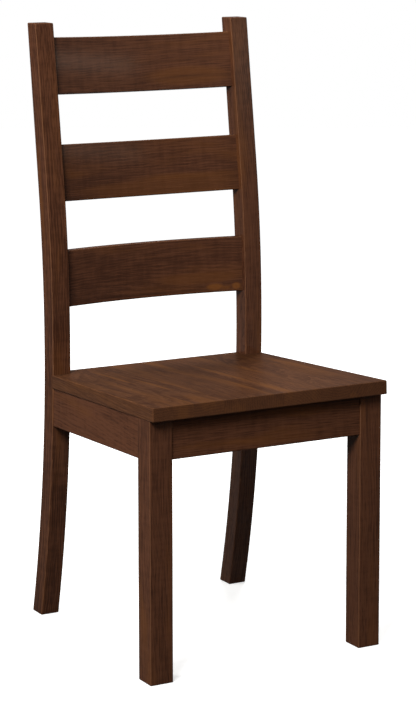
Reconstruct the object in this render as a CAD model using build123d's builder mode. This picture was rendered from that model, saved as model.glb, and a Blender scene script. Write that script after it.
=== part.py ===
from build123d import *
import os
from math import acos, asin, atan2, cos, degrees, hypot, radians, sin, sqrt, tan

# High-back side chair in solid hardwood, in millimetres.
# +Z is up and the sitter faces -Y. Left and right are as seen from the front, so right is +X.
# The origin is on the floor, under the middle of the chair.

# Overall
overall_height = 1063.0
front_leg_span = 447.0  # across the outer faces of the front legs
post_span = 425.0  # across the outer faces of the rear posts

# Seat
seat_height = 469.0  # top of the seat's front edge
seat_front_width = 451.0
seat_depth = 432.0  # from the front edge to the back of the posts
seat_thickness = 24.0
seat_slope = 2.6  # degrees, falling towards the back
seat_overhang = 14.5  # front edge ahead of the front legs
seat_corner_radius = 3.0
seat_joints = (-150.0, -94.0, 21.0, 92.0, 150.0)  # glue lines between the boards, along X

# Front legs
leg_size = 42.5

# Rear posts: one arc from the floor to above the seat, then a straight lean
post_width = 35.0
post_depth = 35.5
post_top_depth = 33.0  # square to the lean
post_bend_height = 508.0  # where the posts stand upright
post_sweep_radius = 2180.0
back_angle = 8.0  # degrees from upright

# Back slats
slat_names = ("top_slat", "middle_slat", "bottom_slat")
slat_height = 100.0
slat_thickness = 18.0
slat_bow = 24.0  # how far the middle of a slat lies behind its ends
slat_setback = 10.5  # slat face behind the face of the posts
slat_bevel = 1.2  # along the long edges
slat_pitch = 186.0
slat_top_drop = 23.0  # top of the posts to the top slat
tenon_length = 22.0
tenon_thickness = 9.0
tenon_shoulder = 10.0  # slat edge to tenon edge

# Aprons
apron_height = 68.5
apron_thickness = 21.0
front_apron_setback = 3.0
side_apron_setback = 1.5
rear_apron_setback = 8.0

# Dowels of the apron joints
dowel_diameter = 10.0
dowel_embed = 20.0  # depth in each piece
dowel_chamfer = 1.0
front_dowel_spacing = 34.0
rear_dowel_spacing = 16.0  # close together, to pass between the side apron's dowels in the post
side_dowel_spacing = 42.0

# Corner blocks and their screws
block_reach = 60.0  # contact with each apron
block_height = 34.0
block_clearance = 2.0  # to the leg or post in the corner
block_bite = 15.0  # wood under a screw head
block_screw_offset = 40.0  # from the block's inner corner
seat_screw_bite = 20.0
screw_diameter = 4.2
screw_length = 30.0
seat_screw_length = 34.0
screw_tip = 5.0
screw_head_diameter = 8.0
screw_head_height = 2.6
screw_head_bevel = 0.8
screw_recess_length = 4.4
screw_recess_width = 0.9
screw_recess_depth = 1.4
counterbore_diameter = 10.0

# Fits and edges
glue_gap = 0.1  # on each side of a tenon, dowel or scribed end
hole_end_gap = 1.0  # past the end of a tenon, dowel or screw
notch_gap = 0.2  # seat to post
edge_ease = 2.0
end_ease = 1.8  # post tops and the feet of all four legs

# Shared places
lean = radians(back_angle)
slope = radians(seat_slope)
leg_inner_x = front_leg_span / 2 - leg_size
post_inner_x = post_span / 2 - post_width
lean_start = post_bend_height + post_sweep_radius * sin(lean)
top_slat_height = overall_height - slat_top_drop - slat_height / 2
slat_heights = [top_slat_height - row * slat_pitch for row in range(len(slat_names))]


def sweep(height, radius):
    """Distance of a swept face behind the posts' front at the bend."""
    return post_sweep_radius - sqrt(radius**2 - (height - post_bend_height) ** 2)


def post_front(height):
    """Distance of the posts' front face behind its place at the bend."""
    if height <= lean_start:
        return sweep(height, post_sweep_radius)
    return sweep(lean_start, post_sweep_radius) + (height - lean_start) * tan(lean)


def post_lean(height):
    """Lean of the posts at a height, in radians."""
    if height <= lean_start:
        return asin((height - post_bend_height) / post_sweep_radius)
    return lean


def slat_back(height):
    """Rearmost reach of a slat that is centred at a height."""
    tilt = post_lean(height)
    depth = slat_setback + slat_bow + slat_thickness
    return post_front(height) + depth * cos(tilt) + slat_height / 2 * sin(tilt)


# The chair's depth runs from the seat's front edge to the heels or the top slat, and is centred on Y = 0
heel_back = sweep(0, post_sweep_radius - post_depth)
rear_reach = max(heel_back, slat_back(slat_heights[0]))
seat_to_post = seat_depth - post_depth
seat_front_y = -(seat_to_post + rear_reach) / 2
leg_front_y = seat_front_y + seat_overhang
leg_back_y = leg_front_y + leg_size
post_front_y = seat_front_y + seat_to_post
bend_centre = (post_front_y + post_sweep_radius, post_bend_height)
front_apron_y = leg_front_y + front_apron_setback + apron_thickness / 2
rear_apron_y = post_front_y + rear_apron_setback + apron_thickness / 2

# The seat slopes, and everything under it is cut to its underside
seat_top = Plane(origin=(0, seat_front_y, seat_height), x_dir=(1, 0, 0), z_dir=(0, sin(slope), cos(slope)))
seat_underside = seat_top.offset(-seat_thickness)


def under_seat(y):
    """Height of the seat's underside."""
    return seat_height - (y - seat_front_y) * tan(slope) - seat_thickness / cos(slope)


# The side aprons taper inwards from the front legs to the posts
side_front_x = front_leg_span / 2 - side_apron_setback
side_taper = (front_leg_span - post_span) / 2 / (post_front_y - leg_back_y)


def side_apron_x(y, inset):
    """Place of the right side apron's outer face, or of a plane that lies inside it by inset."""
    return side_front_x - (y - leg_back_y) * side_taper - inset * hypot(1, side_taper)


def slat_plane(height):
    """Plane across a slat, with X along it, Y towards its back and its front ends at the origin's depth."""
    tilt = post_lean(height)
    place = (
        0,
        post_front_y + post_front(height) + slat_setback * cos(tilt),
        height - slat_setback * sin(tilt),
    )
    return Plane(origin=place, x_dir=(1, 0, 0), z_dir=(0, sin(tilt), cos(tilt)))


# A slat's front is an arc about a centre ahead of the chair, and its back is parallel to it
slat_radius = (post_inner_x**2 + slat_bow**2) / (2 * slat_bow)
slat_end_depth = sqrt((slat_radius + slat_thickness) ** 2 - post_inner_x**2) + slat_bow - slat_radius


def tenon(height, side, gap, end_gap, mode):
    """Adds a slat's tenon to the part that is being built, or cuts its mortise."""
    length = tenon_length + end_gap
    with BuildSketch(slat_plane(height)) as outline:
        with Locations((side * (post_inner_x + length / 2), slat_end_depth / 2)):
            Rectangle(length, tenon_thickness + 2 * gap)
    extrude(outline.sketch, amount=slat_height / 2 - tenon_shoulder + gap, both=True, mode=mode)


def rail_dowels(inner_x, y, spacing):
    """Dowel places of an apron that runs along X, as planes square to the dowels."""
    middle = under_seat(y) - apron_height / 2
    return [
        Plane(origin=(side * inner_x, y, middle + step * spacing / 2), z_dir=(side, 0, 0))
        for side in (1, -1)
        for step in (1, -1)
    ]


def side_dowels():
    """Dowel places of the right side apron, front end first."""
    places = []
    for step in (1, -1):
        height = under_seat(leg_back_y) - apron_height / 2 + step * side_dowel_spacing / 2
        middle_x = side_apron_x(leg_back_y, apron_thickness / 2)
        places.append(Plane(origin=(middle_x, leg_back_y, height), z_dir=(0, -1, 0)))
    for step in (1, -1):
        height = under_seat(post_front_y) - apron_height / 2 + step * side_dowel_spacing / 2
        face_y = post_front_y + post_front(height)
        middle_x = side_apron_x(face_y, apron_thickness / 2)
        places.append(Plane(origin=(middle_x, face_y, height), z_dir=(0, 1, 0)))
    return places


front_dowel_places = rail_dowels(leg_inner_x, front_apron_y, front_dowel_spacing)
rear_dowel_places = rail_dowels(post_inner_x, rear_apron_y, rear_dowel_spacing)
side_dowel_places = side_dowels()


def dowel_holes(places):
    """Drills both halves of each dowel joint in the part that is being built."""
    with Locations(*places):
        Cylinder(dowel_diameter / 2 + glue_gap, 2 * (dowel_embed + hole_end_gap), mode=Mode.SUBTRACT)


class CornerBlock:
    """Plan and screw places of a corner block on the right side of the seat frame."""

    def __init__(self, corner_x, corner_y, rail_face_y, inward):
        self.inner_x = corner_x - block_clearance
        self.clear_y = corner_y + inward * block_clearance
        self.rail_face_y = rail_face_y
        self.end_y = self.clear_y + inward * block_reach
        self.bottom = under_seat(self.clear_y) - block_height
        self.rail_end = (self.inner_x - block_reach, rail_face_y)
        self.side_end = (side_apron_x(self.end_y, apron_thickness), self.end_y)
        self.inward = inward

    def plan(self):
        """Corners of the block, seen from above."""
        return (
            (self.inner_x, self.rail_face_y),
            self.rail_end,
            self.side_end,
            (side_apron_x(self.clear_y, apron_thickness), self.clear_y),
            (self.inner_x, self.clear_y),
        )

    def apron_screws(self):
        """Planes under the heads of the two screws into the aprons, with Z along the screw."""
        height = self.bottom + block_height / 2
        rail_place = (self.inner_x - block_screw_offset, self.rail_face_y + self.inward * block_bite, height)
        side_y = self.clear_y + self.inward * block_screw_offset
        side_place = (side_apron_x(side_y, apron_thickness) - block_bite, side_y, height)
        return [
            Plane(origin=rail_place, z_dir=(0, -self.inward, 0)),
            Plane(origin=side_place, z_dir=(1, 0, 0)),
        ]

    def seat_screw(self):
        """Plane under the head of the screw into the seat, halfway across the block's waist."""
        x = (self.inner_x + (self.rail_end[0] + self.side_end[0]) / 2) / 2
        y = (self.clear_y + (self.rail_end[1] + self.side_end[1]) / 2) / 2
        return Plane(origin=(x, y, under_seat(y) - seat_screw_bite), z_dir=(0, 0, 1))


front_block = CornerBlock(
    leg_inner_x, leg_back_y, leg_front_y + front_apron_setback + apron_thickness, 1
)
rear_block = CornerBlock(post_inner_x, post_front_y, post_front_y + rear_apron_setback, -1)


def screw_holes(places, length):
    """Drills the part that is being built for screws, from under their heads to past their tips."""
    with Locations(*places):
        Cylinder(
            screw_diameter / 2 + glue_gap,
            length + hole_end_gap,
            align=(Align.CENTER, Align.CENTER, Align.MIN),
            mode=Mode.SUBTRACT,
        )


def counterbores(places):
    """Cuts room for screw heads and the driver, from the heads' seats outwards."""
    with Locations(*places):
        Cylinder(
            counterbore_diameter / 2,
            block_reach,
            align=(Align.CENTER, Align.CENTER, Align.MAX),
            mode=Mode.SUBTRACT,
        )


def mirrored(places):
    """The places on the right side and their mirror images on the left."""
    twins = []
    for place in places:
        origin, direction = place.origin, place.z_dir
        twins.append(
            Plane(origin=(-origin.X, origin.Y, origin.Z), z_dir=(-direction.X, direction.Y, direction.Z))
        )
    return places + twins


os.makedirs("parts", exist_ok=True)


def write(piece, name):
    """Labels a finished piece and writes its file."""
    piece.label = name
    export_step(piece, f"parts/{name}.step")


def write_pair(piece, name):
    """Writes a piece of the right side and its mirror image for the left."""
    write(piece, f"{name}_right")
    with BuildPart() as twin:
        mirror(piece, about=Plane.YZ)
    write(twin.part, f"{name}_left")


# Front legs: square, cut to the seat's slope at the top
with BuildPart() as front_leg:
    with BuildSketch():
        with Locations((front_leg_span / 2 - leg_size / 2, leg_front_y + leg_size / 2)):
            Rectangle(leg_size, leg_size)
    extrude(amount=seat_height)
    fillet(front_leg.edges().filter_by(Axis.Z), radius=edge_ease)
    fillet(front_leg.faces().sort_by(Axis.Z)[0].edges(), radius=end_ease)
    split(bisect_by=seat_underside, keep=Keep.BOTTOM)
    dowel_holes(front_dowel_places[:2])
    dowel_holes(side_dowel_places[:2])
write_pair(front_leg.part, "front_leg")

# Rear posts: the back face is an arc of the same centre, then a tangent to the thinner top
front_top = (post_front_y + post_front(overall_height), overall_height)
back_top = (front_top[0] + post_top_depth / cos(lean), overall_height)
back_radius = post_sweep_radius - post_depth
top_bearing = atan2(back_top[1] - bend_centre[1], back_top[0] - bend_centre[0])
top_distance = hypot(back_top[1] - bend_centre[1], back_top[0] - bend_centre[0])
back_tangent = degrees(top_bearing + acos(back_radius / top_distance))
front_floor = 180 + degrees(asin(post_bend_height / post_sweep_radius))
back_floor = 180 + degrees(asin(post_bend_height / back_radius))
front_tangent = 180 - back_angle

with BuildPart() as rear_post:
    with BuildSketch(Plane.YZ.offset(post_inner_x)):
        with BuildLine():
            front_arc = CenterArc(bend_centre, post_sweep_radius, front_tangent, front_floor - front_tangent)
            back_arc = CenterArc(bend_centre, back_radius, back_tangent, back_floor - back_tangent)
            Polyline(front_arc @ 0, front_top, back_top, back_arc @ 0)
            Line(front_arc @ 1, back_arc @ 1)
        make_face()
    extrude(amount=post_width)
    fillet(rear_post.edges().filter_by(lambda edge: edge.length > 2 * post_depth), radius=edge_ease)
    fillet(rear_post.faces().sort_by(Axis.Z)[-1].edges(), radius=end_ease)
    fillet(rear_post.faces().sort_by(Axis.Z)[0].edges(), radius=end_ease)
    for height in slat_heights:
        tenon(height, 1, glue_gap, hole_end_gap, Mode.SUBTRACT)
    dowel_holes(rear_dowel_places[:2])
    dowel_holes(side_dowel_places[2:])
write_pair(rear_post.part, "rear_post")

# Back slats: bowed boards that lean with the posts, bevelled along their four long edges
for name, height in zip(slat_names, slat_heights):
    with BuildPart() as slat:
        with BuildSketch(slat_plane(height)):
            with BuildLine():
                ThreePointArc((-post_inner_x, 0), (0, slat_bow), (post_inner_x, 0))
                Line((post_inner_x, 0), (post_inner_x, slat_end_depth))
                ThreePointArc(
                    (post_inner_x, slat_end_depth),
                    (0, slat_bow + slat_thickness),
                    (-post_inner_x, slat_end_depth),
                )
                Line((-post_inner_x, slat_end_depth), (-post_inner_x, 0))
            make_face()
        extrude(amount=slat_height / 2, both=True)
        chamfer(slat.edges().filter_by(GeomType.CIRCLE), length=slat_bevel)
        for side in (1, -1):
            tenon(height, side, 0, 0, Mode.ADD)
    write(slat.part, name)

# Front and rear aprons: straight rails between the legs and between the posts
rails = (
    ("front_apron", leg_inner_x, front_apron_y, front_dowel_places, front_block),
    ("rear_apron", post_inner_x, rear_apron_y, rear_dowel_places, rear_block),
)
for name, inner_x, middle_y, dowel_places, block in rails:
    with BuildPart() as rail:
        with BuildSketch(Plane.XY.offset(under_seat(middle_y) - apron_height)):
            with Locations((0, middle_y)):
                Rectangle(2 * inner_x, apron_thickness)
        extrude(amount=apron_height + apron_thickness)
        fillet(rail.edges().filter_by(Axis.X).group_by(Axis.Z)[0], radius=edge_ease)
        split(bisect_by=seat_underside, keep=Keep.BOTTOM)
        dowel_holes(dowel_places)
        screw_holes(mirrored(block.apron_screws()[:1]), screw_length)
    write(rail.part, name)

# Side aprons: they follow the seat's slope and taper, and are scribed to the posts
with BuildPart() as side_apron:
    with BuildSketch(Plane.YZ):
        with BuildLine():
            Polyline(
                (leg_back_y, under_seat(leg_back_y)),
                (rear_apron_y, under_seat(rear_apron_y)),
                (rear_apron_y, under_seat(rear_apron_y) - apron_height),
                (leg_back_y, under_seat(leg_back_y) - apron_height),
                close=True,
            )
        make_face()
        with Locations(bend_centre):
            Circle(post_sweep_radius + glue_gap, mode=Mode.SUBTRACT)
    extrude(amount=front_leg_span)
    with BuildSketch():
        with BuildLine():
            Polyline(
                (side_apron_x(leg_back_y, 0), leg_back_y),
                (side_apron_x(rear_apron_y, 0), rear_apron_y),
                (side_apron_x(rear_apron_y, apron_thickness), rear_apron_y),
                (side_apron_x(leg_back_y, apron_thickness), leg_back_y),
                close=True,
            )
        make_face()
    extrude(amount=seat_height, mode=Mode.INTERSECT)
    fillet(side_apron.faces().sort_by(Axis.Z)[0].edges().sort_by(SortBy.LENGTH)[-2:], radius=edge_ease)
    dowel_holes(side_dowel_places)
    screw_holes([front_block.apron_screws()[1], rear_block.apron_screws()[1]], screw_length)
write_pair(side_apron.part, "side_apron")

# Dowels, chamfered at both ends
with BuildPart() as dowel:
    Cylinder(dowel_diameter / 2, 2 * dowel_embed)
    chamfer(dowel.edges().filter_by(GeomType.CIRCLE), length=dowel_chamfer)
dowel_groups = (("front_apron_dowels", front_dowel_places), ("rear_apron_dowels", rear_dowel_places))
for name, places in dowel_groups:
    with BuildPart() as group:
        with Locations(*places):
            add(dowel.part)
    write(group.part, name)
with BuildPart() as group:
    with Locations(*side_dowel_places):
        add(dowel.part)
write(group.part, "side_apron_right_dowels")
with BuildPart() as twin:
    mirror(group.part, about=Plane.YZ)
write(twin.part, "side_apron_left_dowels")

# Seat: a tapered panel, notched around the posts, then parted along its glue lines
seat_back = seat_depth / cos(slope)
with BuildPart() as seat_panel:
    with BuildSketch(seat_top):
        with BuildLine():
            Polyline(
                (-seat_front_width / 2, 0),
                (seat_front_width / 2, 0),
                (post_span / 2, seat_back),
                (-post_span / 2, seat_back),
                close=True,
            )
        outline = make_face()
        fillet(outline.vertices(), radius=seat_corner_radius)
    extrude(amount=-seat_thickness)
    fillet(seat_panel.faces().filter_by(seat_top).edges(), radius=edge_ease)
    for side in (1, -1):
        with BuildSketch(Plane.YZ.offset(side * (post_inner_x - notch_gap))):
            with Locations(bend_centre):
                Circle(post_sweep_radius + notch_gap)
        extrude(amount=side * seat_front_width, mode=Mode.SUBTRACT)
    screw_holes(mirrored([front_block.seat_screw(), rear_block.seat_screw()]), seat_screw_length)

for number in range(len(seat_joints) + 1):
    with BuildPart() as board:
        add(seat_panel.part)
        if number > 0:
            split(bisect_by=Plane.YZ.offset(seat_joints[number - 1]), keep=Keep.TOP)
        if number < len(seat_joints):
            split(bisect_by=Plane.YZ.offset(seat_joints[number]), keep=Keep.BOTTOM)
    write(board.part, f"seat_board_{number + 1}")

# Corner blocks: bridge each corner of the seat frame, clear of the leg or post
for name, block in (("front", front_block), ("rear", rear_block)):
    with BuildPart() as corner_block:
        with BuildSketch(Plane.XY.offset(block.bottom)):
            with BuildLine():
                Polyline(*block.plan(), close=True)
            make_face()
        extrude(amount=2 * block_height)
        split(bisect_by=seat_underside, keep=Keep.BOTTOM)
        screw_holes(block.apron_screws(), screw_length)
        counterbores(block.apron_screws())
        screw_holes([block.seat_screw()], seat_screw_length)
        counterbores([block.seat_screw()])
    write_pair(corner_block.part, f"corner_block_{name}")


def wood_screw(length):
    """A pan-head screw with a cross recess: its head's seat is at the origin and it points along Z."""
    radius = screw_diameter / 2
    head = screw_head_diameter / 2
    with BuildPart() as screw:
        with BuildSketch(Plane.XZ):
            with BuildLine():
                Polyline(
                    (0, -screw_head_height),
                    (head - screw_head_bevel, -screw_head_height),
                    (head, -screw_head_height + screw_head_bevel),
                    (head, 0),
                    (radius, 0),
                    (radius, length - screw_tip),
                    (0, length),
                    close=True,
                )
            make_face()
        revolve(axis=Axis.Z)
        with Locations((0, 0, -screw_head_height)):
            for turn in (0, 90):
                Box(
                    screw_recess_length,
                    screw_recess_width,
                    screw_recess_depth,
                    rotation=(0, 0, turn),
                    align=(Align.CENTER, Align.CENTER, Align.MIN),
                    mode=Mode.SUBTRACT,
                )
    return screw.part


# Screws, in two groups
block_screw_places = mirrored(front_block.apron_screws() + rear_block.apron_screws())
seat_screw_places = mirrored([front_block.seat_screw(), rear_block.seat_screw()])
screw_groups = (
    ("corner_block_screws", screw_length, block_screw_places),
    ("seat_screws", seat_screw_length, seat_screw_places),
)
for name, length, places in screw_groups:
    pattern = wood_screw(length)
    with BuildPart() as group:
        with Locations(*places):
            add(pattern)
    write(group.part, name)
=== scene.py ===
from math import asin, cos, pi, radians, sin, sqrt, tan
from typing import NamedTuple

import bpy
from mathutils import Euler, Matrix, Vector


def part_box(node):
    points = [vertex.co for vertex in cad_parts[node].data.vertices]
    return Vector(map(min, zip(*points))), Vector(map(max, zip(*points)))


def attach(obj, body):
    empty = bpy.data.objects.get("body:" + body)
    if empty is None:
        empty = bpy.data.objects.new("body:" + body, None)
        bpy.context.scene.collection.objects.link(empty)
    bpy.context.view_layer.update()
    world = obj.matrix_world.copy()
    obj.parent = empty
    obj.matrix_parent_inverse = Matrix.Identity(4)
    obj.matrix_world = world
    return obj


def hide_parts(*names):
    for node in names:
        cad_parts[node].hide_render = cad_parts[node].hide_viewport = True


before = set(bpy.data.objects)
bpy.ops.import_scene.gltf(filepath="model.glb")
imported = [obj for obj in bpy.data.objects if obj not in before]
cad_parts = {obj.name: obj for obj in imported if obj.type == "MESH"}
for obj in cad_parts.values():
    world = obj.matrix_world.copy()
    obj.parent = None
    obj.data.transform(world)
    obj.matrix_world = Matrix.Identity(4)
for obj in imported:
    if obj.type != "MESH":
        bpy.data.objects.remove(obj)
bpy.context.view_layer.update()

bl_info = {
    "name": "High-back side chair",
    "version": (1, 0, 0),
    "blender": (4, 5, 0),
    "location": "3D View > Sidebar > Chair",
    "description": "Dresses the chair's solids in stained maple and sets them on a studio floor",
    "category": "Object",
}

BODY = "root"
SLATS = ("top_slat", "middle_slat", "bottom_slat")
SIDES = ("left", "right")
WHITE = (1, 1, 1, 1)

# The pattern's X axis runs along the grain. These turns lay it along the chair's X, Y or Z.
GRAIN_TURN = {"X": (0, 0, 0), "Y": (0, 0, pi / 2), "Z": (0, -pi / 2, 0)}
GRAIN_AXIS = {"X": (1, 0, 0), "Y": (0, 1, 0), "Z": (0, 0, 1)}

# A wave texture at scale 1 repeats every 2 pi / 20 units
WAVE_LENGTH = pi / 10

# Settings that many nodes share
TIMES = {"operation": "MULTIPLY"}
TIMES_PLUS = {"operation": "MULTIPLY_ADD"}
MINUS = {"operation": "SUBTRACT"}
DOT = {"operation": "DOT_PRODUCT"}
LENGTH = {"operation": "LENGTH"}
SMOOTH = {"interpolation_type": "SMOOTHSTEP"}
PLACED = {"vector_type": "TEXTURE"}

# A Mix node for colours, and its sockets by number, because their names come more than once
COLOURS = {"data_type": "RGBA"}
FACTOR, UNDER, OVER, MIXED = 0, 6, 7, 2


def linear(colour):
    """Turns an sRGB hex colour into linear red, green, blue and alpha."""
    values = [int(colour[i : i + 2], 16) / 255 for i in (0, 2, 4)]
    values = [v / 12.92 if v <= 0.04045 else ((v + 0.055) / 1.055) ** 2.4 for v in values]
    return (*values, 1.0)


def colour_property(name, colour, description):
    """A colour that the user can change."""
    return bpy.props.FloatVectorProperty(
        name=name, description=description, subtype="COLOR", size=4, min=0, max=1,
        default=linear(colour),
    )


def length_property(name, value, description):
    """A length that the user can change, in metres."""
    return bpy.props.FloatProperty(
        name=name, description=description, subtype="DISTANCE", unit="LENGTH", precision=4,
        default=value,
    )


def power_property(name, value, description):
    """A lamp's power that the user can change, in watts."""
    return bpy.props.FloatProperty(
        name=name, description=description, subtype="POWER", min=0, default=value
    )


class ChairFinish(bpy.types.PropertyGroup):
    """Stain, figure and gloss of the chair's wood."""

    stain: colour_property("Stain", "68412d", "Maple where it took little stain")
    deep_stain: colour_property("Deep stain", "44281b", "Maple where it took the most stain")
    amber: colour_property("Amber", "7b4b25", "Heartwood that shows through the stain")
    seat_stain: colour_property("Seat stain", "67422b", "Seat boards where they took little stain")
    seat_deep_stain: colour_property("Deep seat stain", "43281a", "Seat boards where they took most")
    seat_amber: colour_property("Seat amber", "794c28", "Heartwood that shows in the seat")
    mineral: colour_property("Mineral streak", "38221a", "Dark streaks in the maple")
    # Pale eased edges: partly stain rubbed thin, partly a painted highlight where the edges catch the
    # light
    edge_rubbing_and_highlight: colour_property("Worn edge", "865c40", "Eased edges, where the stain is rubbed thin")
    ring_spacing: length_property("Ring spacing", 0.0042, "Growth rings, from one to the next")
    fibre_width: length_property("Fibre width", 0.0018, "Fine grain, drawn coarse enough to show")
    flame_width: length_property("Flame width", 0.024, "Broad streaks of figure")
    heartwood_width: length_property("Heartwood width", 0.0384, "Patches of amber")
    vein_width: length_property("Vein width", 0.012, "Dark mineral streaks")
    curl_width: length_property("Curl width", 0.036, "Ripples across the grain")
    blotch_size: length_property("Blotch size", 0.07, "Patches where the stain took unevenly")
    varnish: bpy.props.FloatProperty(
        name="Varnish", description="Sheen of the satin varnish", subtype="FACTOR", min=0, max=1,
        default=0.045,
    )


class ChairSlats(bpy.types.PropertyGroup):
    """Sizes of the three bowed slats and of the posts that carry them."""

    half_length: length_property("Half length", 0.1775, "From the middle to the shoulder at the post")
    height: length_property("Height", 0.100, "Along the lean")
    thickness: length_property("Thickness", 0.018, "Front to back")
    bow: length_property("Bow", 0.024, "How far the middle lies behind the ends")
    setback: length_property("Setback", 0.0105, "Behind the face of the posts")
    edge: length_property("Edge radius", 0.0022, "Rounding of the long edges")
    tenon: length_property("Tenon length", 0.022, "In the post")
    tenon_thickness: length_property("Tenon thickness", 0.009, "Front to back")
    tenon_shoulder: length_property("Tenon shoulder", 0.010, "From the slat's edge to the tenon's edge")
    top_centre: length_property("Top slat", 0.990, "Height of the top slat's centre")
    pitch: length_property("Pitch", 0.186, "From one slat to the next")
    bend_height: length_property("Bend height", 0.508, "Where the posts stand upright")
    bend_radius: length_property("Bend radius", 2.180, "Sweep of the posts")
    lean: bpy.props.FloatProperty(
        name="Lean", description="Most that the posts lean back", subtype="ANGLE",
        default=radians(8.0),
    )


class ChairStage(bpy.types.PropertyGroup):
    """Floor, light and camera."""

    floor: colour_property("Floor", "f2f2f0", "Plain pale floor")
    floor_shade: colour_property("Floor shade", "474644", "The floor's colour as the chair is lit by it")
    floor_radius: length_property("Floor radius", 9.0, "From the chair to the floor's edge")
    ambient: bpy.props.FloatProperty(
        name="Ambient", description="Light from all around", default=0.02, min=0
    )
    key_power: power_property("Key", 89, "Soft lamp in front, on the camera's side")
    side_power: power_property("Side", 38, "Soft lamp at the chair's side")
    fill_power: power_property("Fill", 8.8, "Wide strip lamp in front, across from the camera")
    fill_colour: colour_property("Fill colour", "fff2e0", "Warm white, as the room throws it back")
    back_power: power_property("Back", 54, "Soft lamp behind the chair, across from the key")
    camera_place: bpy.props.FloatVectorProperty(
        name="Camera", description="Where the photographer stood", subtype="XYZ", unit="LENGTH",
        default=(-1.9699, -3.5481, 1.2874),
    )
    camera_turn: bpy.props.FloatVectorProperty(
        name="Camera turn", description="Tilt, roll and bearing of the camera", subtype="EULER",
        default=(radians(90 - 8.476), radians(-0.058), radians(-29.253)),
    )
    lens: bpy.props.FloatProperty(
        name="Lens", description="Focal length in millimetres", subtype="DISTANCE_CAMERA",
        default=121.417,
    )
    lens_shift: bpy.props.FloatProperty(
        name="Lens shift", default=0.15,
        description="How far the lens is shifted down, so that the legs stay upright",
    )


class Mark(NamedTuple):
    """An amber mark in the wood."""

    place: tuple
    half_width: float
    stretch: float  # how many times longer it is along the grain
    strength: float


class Cut(NamedTuple):
    """How a piece was cut from its log, and how its stain and varnish came out."""

    grain: str  # the chair's axis that the grain follows
    heart: tuple  # a point on the log's centre line
    bend: float = 0.0  # curvature of a bowed piece
    lean: float = 0.0  # tilt of a leaning piece
    tone: float = 0.0  # lighter or darker as a whole
    figure: float = 1.0  # strength of the grain
    draw: float = 1.0  # length of the streaks
    ripple: float = 0.18  # strength of the curl across the grain
    glow: float = 0.45  # how much amber shows
    rubbing_and_highlight: float = 0.6  # how pale the eased edges are: stain rubbed thin, and a painted highlight
    gloss: float = 1.0  # how much the varnish shines
    blur: float = 0.17  # how dull the shine is
    colours: tuple = ()  # deep stain, stain and amber, if not the frame's own
    marks: tuple = ()  # amber marks, each at its place on the chair


def add_node(tree, kind, settings=None, inputs=None, output=0):
    """Adds a node, fills its inputs with constants or links, and gives one of its outputs."""
    node = tree.nodes.new(kind)
    for name, value in (settings or {}).items():
        setattr(node, name, value)
    for name, value in (inputs or {}).items():
        if isinstance(value, bpy.types.NodeSocket):
            tree.links.new(value, node.inputs[name])
        else:
            node.inputs[name].default_value = value
    return node.outputs[output] if node.outputs else None


def new_material(name):
    """An empty material and its node tree."""
    material = bpy.data.materials.new(name)
    material.use_nodes = True
    material.node_tree.nodes.clear()
    return material, material.node_tree


def log_space(tree, cut, turn):
    """Places in the log, from its heart, with X along the grain. In a bowed piece it follows the bow."""
    place = add_node(tree, "ShaderNodeTexCoord", output="Object")
    log = add_node(
        tree, "ShaderNodeMapping", PLACED, {"Vector": place, "Location": cut.heart, "Rotation": turn}
    )
    if cut.bend:
        parts = add_node(tree, "ShaderNodeSeparateXYZ", None, {"Vector": log}).node.outputs
        square = add_node(tree, "ShaderNodeMath", TIMES, {0: parts["X"], 1: parts["X"]})
        depth = add_node(
            tree, "ShaderNodeMath", TIMES_PLUS, {0: square, 1: -cut.bend, 2: parts["Y"]}
        )
        log = add_node(
            tree, "ShaderNodeCombineXYZ", None, {"X": parts["X"], "Y": depth, "Z": parts["Z"]}
        )
    return log


def grown_wood(tree, log):
    """The same places in a log that is never quite straight, so that its rings wander a little."""
    wander, stretch, sway = 1 / 9, 0.22, 0.035
    drawn = add_node(tree, "ShaderNodeVectorMath", TIMES, {0: log, 1: (stretch, 1, 1)})
    drift = add_node(
        tree,
        "ShaderNodeTexNoise",
        None,
        {"Vector": drawn, "Scale": 1 / wander, "Detail": 1.5},
        "Color",
    )
    centred = add_node(tree, "ShaderNodeVectorMath", MINUS, {0: drift, 1: (0.5, 0.5, 0.5)})
    return add_node(
        tree, "ShaderNodeVectorMath", TIMES_PLUS, {0: centred, 1: (0, sway, sway), 2: log}
    )


def grain_patterns(tree, cut, wood):
    """Rings, fibre, flame and the rest by name, each from 0 to 1."""
    finish = bpy.context.scene.chair_finish
    patterns = {
        "rings": add_node(
            tree,
            "ShaderNodeTexWave",
            {"wave_type": "RINGS", "rings_direction": "X", "wave_profile": "SAW"},
            {
                "Vector": wood,
                "Scale": WAVE_LENGTH / finish.ring_spacing,
                "Distortion": 4.0,
                "Detail": 3,
                "Detail Scale": 0.7,
            },
            "Fac",
        )
    }
    # Stretch, width and detail. Noise at scale 1 has one patch to a metre, and a stretch below 1 draws it
    # out along the grain.
    noises = {
        "fibre": (0.065 / cut.draw, finish.fibre_width, 2),
        "flame": (0.16 / cut.draw, finish.flame_width, 3),
        "blotch": (0.4 / cut.draw, finish.blotch_size, 4),
        "curl": (4.0, finish.curl_width, 2),
        "heartwood": (0.3 / cut.draw, finish.heartwood_width, 4),
        "vein": (0.05 / cut.draw, finish.vein_width, 2),
    }
    for name, (stretch, width, detail) in noises.items():
        drawn = add_node(tree, "ShaderNodeVectorMath", TIMES, {0: wood, 1: (stretch, 1, 1)})
        patterns[name] = add_node(
            tree,
            "ShaderNodeTexNoise",
            None,
            {"Vector": drawn, "Scale": 1 / width, "Detail": detail},
            "Fac",
        )
    return patterns


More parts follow.
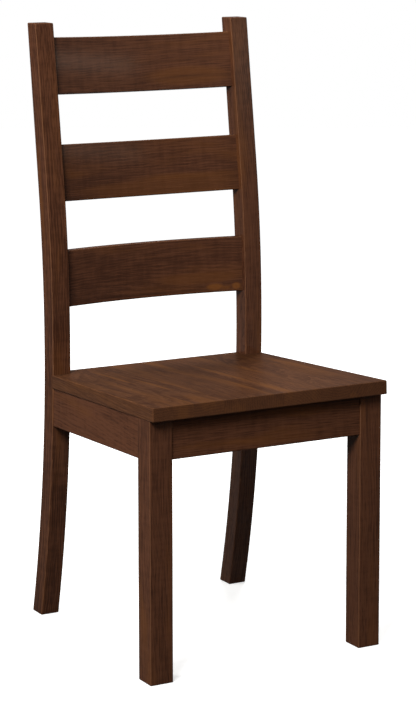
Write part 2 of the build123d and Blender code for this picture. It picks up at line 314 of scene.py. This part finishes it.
def stain_share(tree, cut, patterns):
    """0 where the stain went deep and 1 where the wood took little."""
    weights = {"rings": 0.22, "fibre": 1.0, "flame": 0.26, "blotch": 0.26, "curl": cut.ripple}
    # Each pattern is about 0.5 on the whole, so the piece's mean tone stays the same
    total = 0.5 + cut.tone - cut.figure * sum(weights.values()) / 2
    for name, weight in weights.items():
        total = add_node(
            tree,
            "ShaderNodeMath",
            TIMES_PLUS,
            {0: patterns[name], 1: cut.figure * weight, 2: total},
        )
    return add_node(
        tree, "ShaderNodeMapRange", SMOOTH, {"Value": total, "From Min": 0.22, "From Max": 0.78}
    )


def amber_share(tree, cut, turn, log, heartwood):
    """How much heartwood shows: in soft patches, and in the piece's own marks."""
    share = add_node(
        tree,
        "ShaderNodeMapRange",
        SMOOTH,
        {"Value": heartwood, "From Min": 0.48, "From Max": 0.76, "To Max": cut.glow},
    )
    for mark in cut.marks:
        centre = turn.to_matrix().inverted() @ (Vector(mark.place) - Vector(cut.heart))
        centre.y -= cut.bend * centre.x**2
        moved = add_node(tree, "ShaderNodeVectorMath", MINUS, {0: log, 1: centre})
        short = add_node(
            tree, "ShaderNodeVectorMath", TIMES, {0: moved, 1: (1 / mark.stretch, 1, 1)}
        )
        far = add_node(tree, "ShaderNodeVectorMath", LENGTH, {0: short}, "Value")
        share = add_node(
            tree,
            "ShaderNodeMapRange",
            SMOOTH,
            {
                "Value": far,
                "From Min": mark.half_width,
                "From Max": mark.half_width / 2,
                "To Min": share,
                "To Max": mark.strength,
            },
        )
    return share


def end_grain_share(tree, cut, normal):
    """How far a face lies across the grain."""
    facing = add_node(
        tree, "ShaderNodeVectorMath", DOT, {0: normal, 1: GRAIN_AXIS[cut.grain]}, "Value"
    )
    square_on = add_node(tree, "ShaderNodeMath", TIMES, {0: facing, 1: facing})
    return add_node(
        tree,
        "ShaderNodeMapRange",
        None,
        {"Value": square_on, "From Min": 0.6, "From Max": 0.9, "To Max": 0.5},
    )


def edge_rubbing_and_highlight_share(tree, cut, normal):
    """How pale an eased edge is: stain rubbed thin, and a painted highlight. Edges that face the floor
    lie in shade and get none.
    """
    height = add_node(tree, "ShaderNodeSeparateXYZ", None, {"Vector": normal}, "Z")
    # Painted highlight and rubbing fade out on edges that face down, where shade falls
    rubbed = add_node(
        tree,
        "ShaderNodeMapRange",
        None,
        {"Value": height, "From Min": -0.5, "From Max": 0, "To Max": cut.rubbing_and_highlight},
    )
    # On an eased edge the normal lies between the faces' axes, so its fourth powers add up to less than 1
    squares = add_node(tree, "ShaderNodeVectorMath", TIMES, {0: normal, 1: normal})
    fourths = add_node(tree, "ShaderNodeVectorMath", DOT, {0: squares, 1: squares}, "Value")
    return add_node(
        tree,
        "ShaderNodeMapRange",
        SMOOTH,
        {"Value": fourths, "From Min": 0.8, "From Max": 0.5, "To Max": rubbed},
    )


def stained_maple(name, cut):
    """Plain-sawn maple under a dark brown stain and a satin varnish.

    The fine even grain takes the stain in soft blotches, with narrow rings, a faint curl across the
    grain, amber patches and dark mineral streaks, and the eased edges are paler: stain rubbed thin, and a
    painted highlight.
    """
    ring_relief = 0.5
    finish = bpy.context.scene.chair_finish
    deep_stain, stain, amber = cut.colours or (finish.deep_stain, finish.stain, finish.amber)
    material, tree = new_material(name)
    turn = Euler(GRAIN_TURN[cut.grain])
    turn.x += cut.lean
    log = log_space(tree, cut, turn)
    patterns = grain_patterns(tree, cut, grown_wood(tree, log))
    rings, fibre = patterns["rings"], patterns["fibre"]
    normal = add_node(tree, "ShaderNodeNewGeometry", output="Normal")

    dark_vein = add_node(
        tree,
        "ShaderNodeMapRange",
        None,
        {"Value": patterns["vein"], "From Min": 0.58, "From Max": 0.74, "To Max": 0.45},
    )
    # End grain drinks more stain in the late wood of each ring
    banded = add_node(
        tree, "ShaderNodeMix", COLOURS, {FACTOR: rings, UNDER: stain, OVER: finish.mineral}, MIXED
    )
    colour = deep_stain
    for share, over in (
        (stain_share(tree, cut, patterns), stain),
        (amber_share(tree, cut, turn, log, patterns["heartwood"]), amber),
        (dark_vein, finish.mineral),
        (end_grain_share(tree, cut, normal), banded),
        # Pale eased edges: stain rubbed thin, and a painted highlight
        (edge_rubbing_and_highlight_share(tree, cut, normal), finish.edge_rubbing_and_highlight),
    ):
        colour = add_node(
            tree, "ShaderNodeMix", COLOURS, {FACTOR: share, UNDER: colour, OVER: over}, MIXED
        )

    rough = add_node(
        tree,
        "ShaderNodeMapRange",
        None,
        {"Value": fibre, "From Min": 0.25, "From Max": 0.75, "To Min": 0.4, "To Max": 0.56},
    )
    relief = add_node(tree, "ShaderNodeMath", TIMES_PLUS, {0: rings, 1: ring_relief, 2: fibre})
    bump = add_node(
        tree, "ShaderNodeBump", None, {"Strength": 0.18, "Distance": 0.0003, "Height": relief}
    )
    shader = add_node(
        tree,
        "ShaderNodeBsdfPrincipled",
        None,
        {
            "Base Color": colour,
            "Roughness": rough,
            "Specular IOR Level": 0.0,
            "Coat Weight": cut.gloss * finish.varnish,
            "Coat Roughness": cut.blur,
            "Normal": bump,
        },
    )
    add_node(tree, "ShaderNodeOutputMaterial", None, {"Surface": shader})
    return material


def sawn_poplar(name, turn):
    """Sawn poplar for the corner blocks, wiped with stain: dull, with saw marks across the grain."""
    saw_pitch, saw_weight = 0.0024, 0.25
    fibre_width, fibre_draw = 0.0025, 0.05
    material, tree = new_material(name)
    place = add_node(tree, "ShaderNodeTexCoord", output="Object")
    block = add_node(
        tree, "ShaderNodeMapping", PLACED, {"Vector": place, "Rotation": (0, 0, turn)}
    )
    drawn = add_node(tree, "ShaderNodeVectorMath", TIMES, {0: block, 1: (fibre_draw, 1, 1)})
    fibre = add_node(
        tree,
        "ShaderNodeTexNoise",
        None,
        {"Vector": drawn, "Scale": 1 / fibre_width, "Detail": 3},
        "Fac",
    )
    saw_marks = add_node(
        tree,
        "ShaderNodeTexWave",
        {"wave_type": "BANDS", "bands_direction": "X"},
        {"Vector": block, "Scale": WAVE_LENGTH / saw_pitch, "Distortion": 1.5, "Detail": 2},
        "Fac",
    )
    mixed = add_node(tree, "ShaderNodeMath", TIMES_PLUS, {0: saw_marks, 1: saw_weight, 2: fibre})
    depth = add_node(
        tree, "ShaderNodeMapRange", None, {"Value": mixed, "From Min": 0.35, "From Max": 0.95}
    )
    colour = add_node(
        tree,
        "ShaderNodeMix",
        COLOURS,
        {FACTOR: depth, UNDER: linear("4c3120"), OVER: linear("77563a")},
        MIXED,
    )
    bump = add_node(
        tree, "ShaderNodeBump", None, {"Strength": 0.5, "Distance": 0.0004, "Height": mixed}
    )
    shader = add_node(
        tree,
        "ShaderNodeBsdfPrincipled",
        None,
        {"Base Color": colour, "Roughness": 0.75, "Specular IOR Level": 0.2, "Normal": bump},
    )
    add_node(tree, "ShaderNodeOutputMaterial", None, {"Surface": shader})
    return material


def plain_beech(name, grain):
    """Turned beech for the dowels: pale, with short dark flecks along the grain."""
    fleck_width, fleck_draw = 1 / 1400, 0.2
    material, tree = new_material(name)
    place = add_node(tree, "ShaderNodeTexCoord", output="Object")
    dowel = add_node(
        tree, "ShaderNodeMapping", PLACED, {"Vector": place, "Rotation": GRAIN_TURN[grain]}
    )
    drawn = add_node(tree, "ShaderNodeVectorMath", TIMES, {0: dowel, 1: (fleck_draw, 1, 1)})
    fleck = add_node(
        tree,
        "ShaderNodeTexNoise",
        None,
        {"Vector": drawn, "Scale": 1 / fleck_width, "Detail": 2},
        "Fac",
    )
    depth = add_node(
        tree, "ShaderNodeMapRange", None, {"Value": fleck, "From Min": 0.3, "From Max": 0.6}
    )
    colour = add_node(
        tree,
        "ShaderNodeMix",
        COLOURS,
        {FACTOR: depth, UNDER: linear("96693e"), OVER: linear("c39a69")},
        MIXED,
    )
    shader = add_node(
        tree,
        "ShaderNodeBsdfPrincipled",
        None,
        {"Base Color": colour, "Roughness": 0.6, "Specular IOR Level": 0.3},
    )
    add_node(tree, "ShaderNodeOutputMaterial", None, {"Surface": shader})
    return material


def zinc_plated_steel(name):
    """Zinc-plated steel for the screws: a pale metal with a soft, slightly patchy shine."""
    patch_width = 1 / 600
    material, tree = new_material(name)
    place = add_node(tree, "ShaderNodeTexCoord", output="Object")
    patch = add_node(
        tree,
        "ShaderNodeTexNoise",
        None,
        {"Vector": place, "Scale": 1 / patch_width, "Detail": 3},
        "Fac",
    )
    colour = add_node(
        tree,
        "ShaderNodeMix",
        COLOURS,
        {FACTOR: patch, UNDER: linear("918c80"), OVER: linear("b3afa4")},
        MIXED,
    )
    rough = add_node(
        tree, "ShaderNodeMapRange", None, {"Value": patch, "To Min": 0.28, "To Max": 0.48}
    )
    shader = add_node(
        tree,
        "ShaderNodeBsdfPrincipled",
        None,
        {"Base Color": colour, "Roughness": rough, "Metallic": 1.0},
    )
    add_node(tree, "ShaderNodeOutputMaterial", None, {"Surface": shader})
    return material


def dress(node, material):
    """Gives a solid of the frame its finish."""
    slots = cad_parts[node].material_slots
    if not slots:
        raise RuntimeError(f"{node} has no material slot")
    for slot in slots:
        slot.material = material


class CHAIR_OT_finish_legs(bpy.types.Operator):
    """Front legs: upright grain, with the rings crossing the front faces as fine lines"""

    bl_idname = "chair.finish_legs"
    bl_label = "Front legs"

    # The log's heart, and the tone
    LOGS = {"left": ((-0.312, -0.165, 0.31), 0.03), "right": ((0.082, -0.145, 1.27), 0.09)}

    def execute(self, context):
        for side, (heart, tone) in self.LOGS.items():
            cut = Cut("Z", heart, tone=tone, figure=0.95, draw=1.8, ripple=0.3, gloss=0.8)
            dress(f"front_leg_{side}", stained_maple(f"stained_maple_leg_{side}", cut))
        return {"FINISHED"}


class CHAIR_OT_finish_posts(bpy.types.Operator):
    """Rear posts: the grain follows the sweep from the heel to the top"""

    bl_idname = "chair.finish_posts"
    bl_label = "Rear posts"

    # The log's heart across and back, the tone and the gloss
    LOGS = {"left": (-0.400, 0.260, -0.03, 0.8), "right": (0.410, 0.080, 0.06, 1.8)}

    def execute(self, context):
        slats = context.scene.chair_slats
        for side, (across, back, tone, gloss) in self.LOGS.items():
            cut = Cut(
                "Z",
                (across, back, slats.bend_height),
                bend=1 / (2 * slats.bend_radius),
                tone=tone,
                figure=1.2,
                draw=1.6,
                ripple=0.28,
                gloss=gloss,
            )
            dress(f"rear_post_{side}", stained_maple(f"stained_maple_post_{side}", cut))
        return {"FINISHED"}


class CHAIR_OT_shape_slats(bpy.types.Operator):
    """Back slats: a rounded section spun about the bow's centre, cut at the shoulders, with its tenons"""

    bl_idname = "chair.shape_slats"
    bl_label = "Back slats"

    OVERRUN = 1.2  # the spin goes this far past the shoulders, where it is cut
    SPIN_STEPS = 64
    EDGE_STEPS = 5
    WELD = 1e-5
    SMOOTH_BELOW = radians(35)

    # The log's heart behind and above the slat, the tone and the gloss
    LOGS = {
        "top_slat": (0.06, -0.17, 0.03, 2.4),
        "middle_slat": (-0.05, 0.21, -0.07, 1.5),
        "bottom_slat": (0.11, -0.09, -0.06, 1.4),
    }
    # Amber bands low on each slat, and small burls at the right end of the lowest, each at its place
    # along and up the slat
    MARKS = {
        "top_slat": (Mark((0.095, -0.026), 0.022, 4.5, 0.4),),
        "middle_slat": (Mark((0.020, -0.034), 0.014, 14, 0.3),),
        "bottom_slat": (
            Mark((0.100, -0.022), 0.012, 8, 0.4),
            Mark((0.126, -0.040), 0.0075, 2.6, 1),
            Mark((0.146, -0.042), 0.0040, 3.0, 0.6),
            Mark((0.166, -0.040), 0.0075, 1.3, 1),
        ),
    }

    def execute(self, context):
        slats = context.scene.chair_slats
        posts_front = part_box("rear_post_right")[0].y
        bow_radius = (slats.half_length**2 + slats.bow**2) / (2 * slats.bow)
        sweep_rise = slats.bend_radius * sin(slats.lean)
        for row, node in enumerate(SLATS):
            centre = slats.top_centre - row * slats.pitch
            rise = centre - slats.bend_height
            tilt = min(asin(rise / slats.bend_radius), slats.lean)
            swept = slats.bend_radius - sqrt(slats.bend_radius**2 - min(rise, sweep_rise) ** 2)
            back = swept + max(0, rise - sweep_rise) * tan(tilt)
            place = Vector(
                (0, posts_front + back + slats.setback * cos(tilt), centre - slats.setback * sin(tilt))
            )
            piece = self.bowed_board(context, slats, node, place, tilt, bow_radius)
            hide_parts(node)
            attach(piece, BODY)
            piece.data.materials.append(self.wood(slats, node, place, tilt, bow_radius))
        return {"FINISHED"}

    def bowed_board(self, context, slats, node, place, tilt, radius):
        """Models one slat. Its own axes are X along it, depth towards its back, and up along the lean."""
        depth = Vector((0, cos(tilt), -sin(tilt)))
        up = Vector((0, sin(tilt), cos(tilt)))
        bow_centre = place + depth * (slats.bow - radius)
        swing = self.OVERRUN * asin(slats.half_length / radius)
        outward = Vector((-sin(swing), 0, 0)) + depth * cos(swing)
        turn = Matrix((outward, up, outward.cross(up))).transposed()

        bpy.ops.object.select_all(action="DESELECT")
        bpy.ops.mesh.primitive_plane_add(
            size=1,
            location=bow_centre + outward * (radius + slats.thickness / 2),
            rotation=turn.to_euler(),
        )
        piece = context.active_object
        piece.scale = (slats.thickness, slats.height, 1)
        bpy.ops.object.transform_apply(location=True, rotation=True, scale=True)
        piece.name = piece.data.name = f"{node}_shaped"
        bpy.ops.object.mode_set(mode="EDIT")
        bpy.ops.mesh.select_all(action="SELECT")
        bpy.ops.mesh.bevel(
            offset=slats.edge, offset_type="OFFSET", segments=self.EDGE_STEPS, affect="VERTICES"
        )
        bpy.ops.mesh.select_all(action="SELECT")
        bpy.ops.mesh.delete(type="ONLY_FACE")
        bpy.ops.mesh.select_all(action="SELECT")
        bpy.ops.mesh.spin(steps=self.SPIN_STEPS, angle=2 * swing, center=bow_centre, axis=up)

        # Each cut leaves its cap selected, and the tenon grows out of it
        cheek = (slats.thickness - slats.tenon_thickness) / 2
        shrink = (slats.height / 2 - slats.tenon_shoulder) / (slats.height / 2 - cheek)
        for side in (1, -1):
            bpy.ops.mesh.select_all(action="SELECT")
            bpy.ops.mesh.bisect(
                plane_co=(side * slats.half_length, 0, 0),
                plane_no=(side, 0, 0),
                use_fill=True,
                clear_outer=True,
            )
            bpy.ops.mesh.inset(thickness=cheek, depth=0)
            bpy.ops.transform.resize(value=(1, 1, shrink), center_override=place)
            bpy.ops.mesh.extrude_region_move(
                TRANSFORM_OT_translate={"value": (side * slats.tenon, 0, 0)}
            )
        bpy.ops.mesh.select_all(action="SELECT")
        bpy.ops.mesh.remove_doubles(threshold=self.WELD)
        bpy.ops.mesh.normals_make_consistent(inside=False)
        bpy.ops.object.mode_set(mode="OBJECT")
        bpy.ops.object.shade_smooth_by_angle(angle=self.SMOOTH_BELOW)
        return piece

    def wood(self, slats, node, place, tilt, radius):
        """Grain along the slat, with the log's heart below or above it."""
        back, above, tone, gloss = self.LOGS[node]
        marks = []
        for mark in self.MARKS[node]:
            along, up = mark.place
            deep = slats.bow * (1 - (along / slats.half_length) ** 2)
            offset = (along, deep * cos(tilt) + up * sin(tilt), up * cos(tilt) - deep * sin(tilt))
            marks.append(mark._replace(place=place + Vector(offset)))
        cut = Cut(
            "X",
            (0, place.y + back, place.z + above),
            bend=-1 / (2 * radius),
            lean=-tilt,
            tone=tone,
            figure=0.78,
            draw=2.0,
            ripple=0.36,
            gloss=gloss,
            marks=tuple(marks),
        )
        return stained_maple(f"stained_maple_{node}", cut)


class CHAIR_OT_finish_aprons(bpy.types.Operator):
    """Aprons under the seat: level grain"""

    bl_idname = "chair.finish_aprons"
    bl_label = "Aprons"

    # The grain's axis, the log's heart and the tone
    LOGS = {
        "front_apron": ("X", (0.43, -0.19, 0.29), 0.02),
        "rear_apron": ("X", (1.7, 0.20, 0.56), 0.0),
        "side_apron_left": ("Y", (-0.13, 0.9, 0.33), 0.12),
        "side_apron_right": ("Y", (0.31, 2.1, 0.47), 0.0),
    }

    def execute(self, context):
        for node, (grain, heart, tone) in self.LOGS.items():
            cut = Cut(
                grain, heart, tone=tone, figure=0.88, draw=2.0, ripple=0.36, glow=0.5, gloss=0.5
            )
            dress(node, stained_maple(f"stained_maple_{node}", cut))
        return {"FINISHED"}


class CHAIR_OT_finish_seat(bpy.types.Operator):
    """Seat boards: glued side by side, each from another log, with the grain from front to back"""

    bl_idname = "chair.finish_seat"
    bl_label = "Seat boards"

    SLOPE = radians(2.6)  # fall of the seat towards the back

    # The log's heart and the tone of each board, from the left
    LOGS = (
        ((-0.190, 0.30, 0.33), -0.02),
        ((-0.122, 1.40, 0.62), 0.0),
        ((-0.260, 2.20, 0.46), -0.03),
        ((0.000, 3.10, 0.39), 0.03),
        ((0.140, 4.30, 0.61), -0.01),
        ((0.270, 5.20, 0.39), -0.03),
    )
    # Long amber marks by the board's number, each at its distance from the chair's middle and from the
    # seat's front edge
    MARKS = {
        2: (
            Mark((-0.140, 0.31), 0.006, 26, 0.5),
            Mark((-0.118, 0.20), 0.006, 20, 0.5),
            Mark((-0.122, 0.01), 0.020, 4, 0.4),
        ),
        3: (Mark((-0.006, 0.15), 0.009, 9, 0.35),),
        4: (Mark((0.034, 0.22), 0.007, 50, 0.5), Mark((0.033, 0.05), 0.010, 7, 0.6)),
    }

    def execute(self, context):
        finish = context.scene.chair_finish
        colours = (finish.seat_deep_stain, finish.seat_stain, finish.seat_amber)
        for number, (heart, tone) in enumerate(self.LOGS, start=1):
            node = f"seat_board_{number}"
            low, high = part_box(node)
            marks = []
            for mark in self.MARKS.get(number, ()):
                across, inward = mark.place
                level = high.z - inward * sin(self.SLOPE)
                marks.append(mark._replace(place=(across, low.y + inward, level)))
            cut = Cut(
                "Y",
                heart,
                tone=tone,
                figure=0.82,
                draw=3.0,
                glow=0.6,
                # Little rubbing and little painted highlight on the seat's edges
                rubbing_and_highlight=0.2,
                gloss=1.2,
                blur=0.38,
                colours=colours,
                marks=tuple(marks),
            )
            dress(node, stained_maple(f"stained_maple_board_{number}", cut))
        return {"FINISHED"}


class CHAIR_OT_finish_blocks(bpy.types.Operator):
    """Corner blocks under the seat: sawn poplar, with the grain across the corner"""

    bl_idname = "chair.finish_blocks"
    bl_label = "Corner blocks"

    def execute(self, context):
        for end, lengthways in (("front", 1), ("rear", -1)):
            for side, across in (("left", -1), ("right", 1)):
                turn = lengthways * across * pi / 4
                dress(f"corner_block_{end}_{side}", sawn_poplar(f"sawn_poplar_{end}_{side}", turn))
        return {"FINISHED"}


class CHAIR_OT_finish_dowels(bpy.types.Operator):
    """Dowels in the apron joints: plain beech"""

    bl_idname = "chair.finish_dowels"
    bl_label = "Dowels"

    def execute(self, context):
        across = plain_beech("plain_beech_across", "X")
        lengthways = plain_beech("plain_beech_lengthways", "Y")
        for node in ("front_apron_dowels", "rear_apron_dowels"):
            dress(node, across)
        for side in SIDES:
            dress(f"side_apron_{side}_dowels", lengthways)
        return {"FINISHED"}


class CHAIR_OT_finish_screws(bpy.types.Operator):
    """Screws in the corner blocks: zinc-plated steel"""

    bl_idname = "chair.finish_screws"
    bl_label = "Screws"

    def execute(self, context):
        steel = zinc_plated_steel("zinc_plated_steel")
        for node in ("corner_block_screws", "seat_screws"):
            dress(node, steel)
        return {"FINISHED"}


class CHAIR_OT_set_stage(bpy.types.Operator):
    """Floor, lamps, world and camera"""

    bl_idname = "chair.set_stage"
    bl_label = "Stage"

    CHAIR_MIDDLE = Vector((0, 0, 0.65))
    SOFT_BOX = (1.2, 1.2)
    STRIP = (1.6, 0.3)

    def execute(self, context):
        stage = context.scene.chair_stage
        context.scene.view_settings.view_transform = "Standard"
        self.lay_floor(context, stage)
        self.light_world(context, stage)
        for name, place, size, power, colour in (
            ("key_lamp", (-1.98, -1.66, 2.53), self.SOFT_BOX, stage.key_power, WHITE),
            ("side_lamp", (-2.37, 0.86, 2.62), self.SOFT_BOX, stage.side_power, WHITE),
            ("fill_lamp", (2.20, -2.20, 1.55), self.STRIP, stage.fill_power, stage.fill_colour),
            ("back_lamp", (1.57, 1.88, 2.71), self.SOFT_BOX, stage.back_power, WHITE),
        ):
            self.hang_lamp(context, name, place, size, power, colour)
        self.place_camera(context, stage)
        return {"FINISHED"}

    def seen(self, tree):
        """1 for what the camera, a reflection or glass shows, and 0 for what lights the chair."""
        shown = add_node(tree, "ShaderNodeLightPath", output="Is Camera Ray")
        path = shown.node.outputs
        for ray in ("Is Glossy Ray", "Is Transmission Ray"):
            shown = add_node(
                tree, "ShaderNodeMath", {"operation": "MAXIMUM"}, {0: shown, 1: path[ray]}
            )
        return shown

    def lay_floor(self, context, stage):
        """A pale matt floor. What shows of it is lifted towards white away from the chair."""
        bpy.ops.object.select_all(action="DESELECT")
        bpy.ops.mesh.primitive_circle_add(vertices=128, radius=stage.floor_radius, fill_type="NGON")
        floor = context.active_object
        floor.name = floor.data.name = "studio_floor"
        material, tree = new_material("matt_floor")
        place = add_node(tree, "ShaderNodeTexCoord", output="Object")
        away = add_node(tree, "ShaderNodeVectorMath", LENGTH, {0: place}, "Value")
        lift = add_node(
            tree,
            "ShaderNodeMapRange",
            SMOOTH,
            {"Value": away, "From Min": 0.4, "From Max": 2.0, "To Min": 0.68, "To Max": 1.0},
        )
        matt = add_node(tree, "ShaderNodeBsdfDiffuse", None, {"Color": stage.floor})
        glow = add_node(tree, "ShaderNodeEmission", None, {"Color": WHITE, "Strength": lift})
        bright = add_node(tree, "ShaderNodeAddShader", None, {0: matt, 1: glow})
        dull = add_node(tree, "ShaderNodeBsdfDiffuse", None, {"Color": stage.floor_shade})
        shown = add_node(
            tree, "ShaderNodeMixShader", None, {0: self.seen(tree), 1: dull, 2: bright}
        )
        add_node(tree, "ShaderNodeOutputMaterial", None, {"Surface": shown})
        floor.data.materials.append(material)

    def light_world(self, context, stage):
        """White to look at, and a low even light on the chair."""
        world = bpy.data.worlds.new("studio")
        context.scene.world = world
        world.use_nodes = True
        tree = world.node_tree
        tree.nodes.clear()
        ambient = add_node(
            tree, "ShaderNodeBackground", None, {"Color": WHITE, "Strength": stage.ambient}
        )
        white = add_node(tree, "ShaderNodeBackground", None, {"Color": WHITE, "Strength": 1.0})
        shown = add_node(
            tree, "ShaderNodeMixShader", None, {0: self.seen(tree), 1: ambient, 2: white}
        )
        add_node(tree, "ShaderNodeOutputWorld", None, {"Surface": shown})

    def hang_lamp(self, context, name, place, size, power, colour):
        """A soft lamp that faces the middle of the chair."""
        aim = (self.CHAIR_MIDDLE - Vector(place)).to_track_quat("-Z", "Y")
        bpy.ops.object.light_add(type="AREA", location=place, rotation=aim.to_euler())
        lamp = context.active_object
        lamp.name = lamp.data.name = name
        lamp.data.shape = "RECTANGLE"
        lamp.data.size, lamp.data.size_y = size
        lamp.data.energy = power
        lamp.data.color = colour[:3]

    def place_camera(self, context, stage):
        """The photograph's view: slightly from above, at the chair's right hand."""
        tilt, roll, bearing = stage.camera_turn
        turn = Euler((tilt, 0, bearing)).to_matrix() @ Matrix.Rotation(roll, 3, "Z")
        bpy.ops.object.camera_add(location=stage.camera_place, rotation=turn.to_euler())
        camera = context.active_object
        camera.name = camera.data.name = "photo_camera"
        camera.data.lens = stage.lens
        camera.data.shift_y = -stage.lens_shift
        camera.data.clip_end = 100
        context.scene.camera = camera


OPERATORS = (
    CHAIR_OT_finish_legs,
    CHAIR_OT_finish_posts,
    CHAIR_OT_shape_slats,
    CHAIR_OT_finish_aprons,
    CHAIR_OT_finish_seat,
    CHAIR_OT_finish_blocks,
    CHAIR_OT_finish_dowels,
    CHAIR_OT_finish_screws,
    CHAIR_OT_set_stage,
)
GROUPS = {"chair_finish": ChairFinish, "chair_slats": ChairSlats, "chair_stage": ChairStage}


class CHAIR_PT_panel(bpy.types.Panel):
    """Lists the chair's pieces, its stage and their settings"""

    bl_idname = "CHAIR_PT_panel"
    bl_label = "High-back side chair"
    bl_space_type = "VIEW_3D"
    bl_region_type = "UI"
    bl_category = "Chair"

    def draw(self, context):
        for operator in OPERATORS:
            self.layout.operator(operator.bl_idname)
        for name, group in GROUPS.items():
            box = self.layout.box()
            for setting in group.__annotations__:
                box.prop(getattr(context.scene, name), setting)


CLASSES = (*GROUPS.values(), *OPERATORS, CHAIR_PT_panel)


def register():
    for item in CLASSES:
        bpy.utils.register_class(item)
    for name, group in GROUPS.items():
        setattr(bpy.types.Scene, name, bpy.props.PointerProperty(type=group))


def unregister():
    for name in GROUPS:
        delattr(bpy.types.Scene, name)
    for item in reversed(CLASSES):
        bpy.utils.unregister_class(item)


def main():
    register()
    bpy.ops.chair.finish_legs()
    bpy.ops.chair.finish_posts()
    bpy.ops.chair.shape_slats()
    bpy.ops.chair.finish_aprons()
    bpy.ops.chair.finish_seat()
    bpy.ops.chair.finish_blocks()
    bpy.ops.chair.finish_dowels()
    bpy.ops.chair.finish_screws()
    bpy.ops.chair.set_stage()


if __name__ == "__main__":
    main()
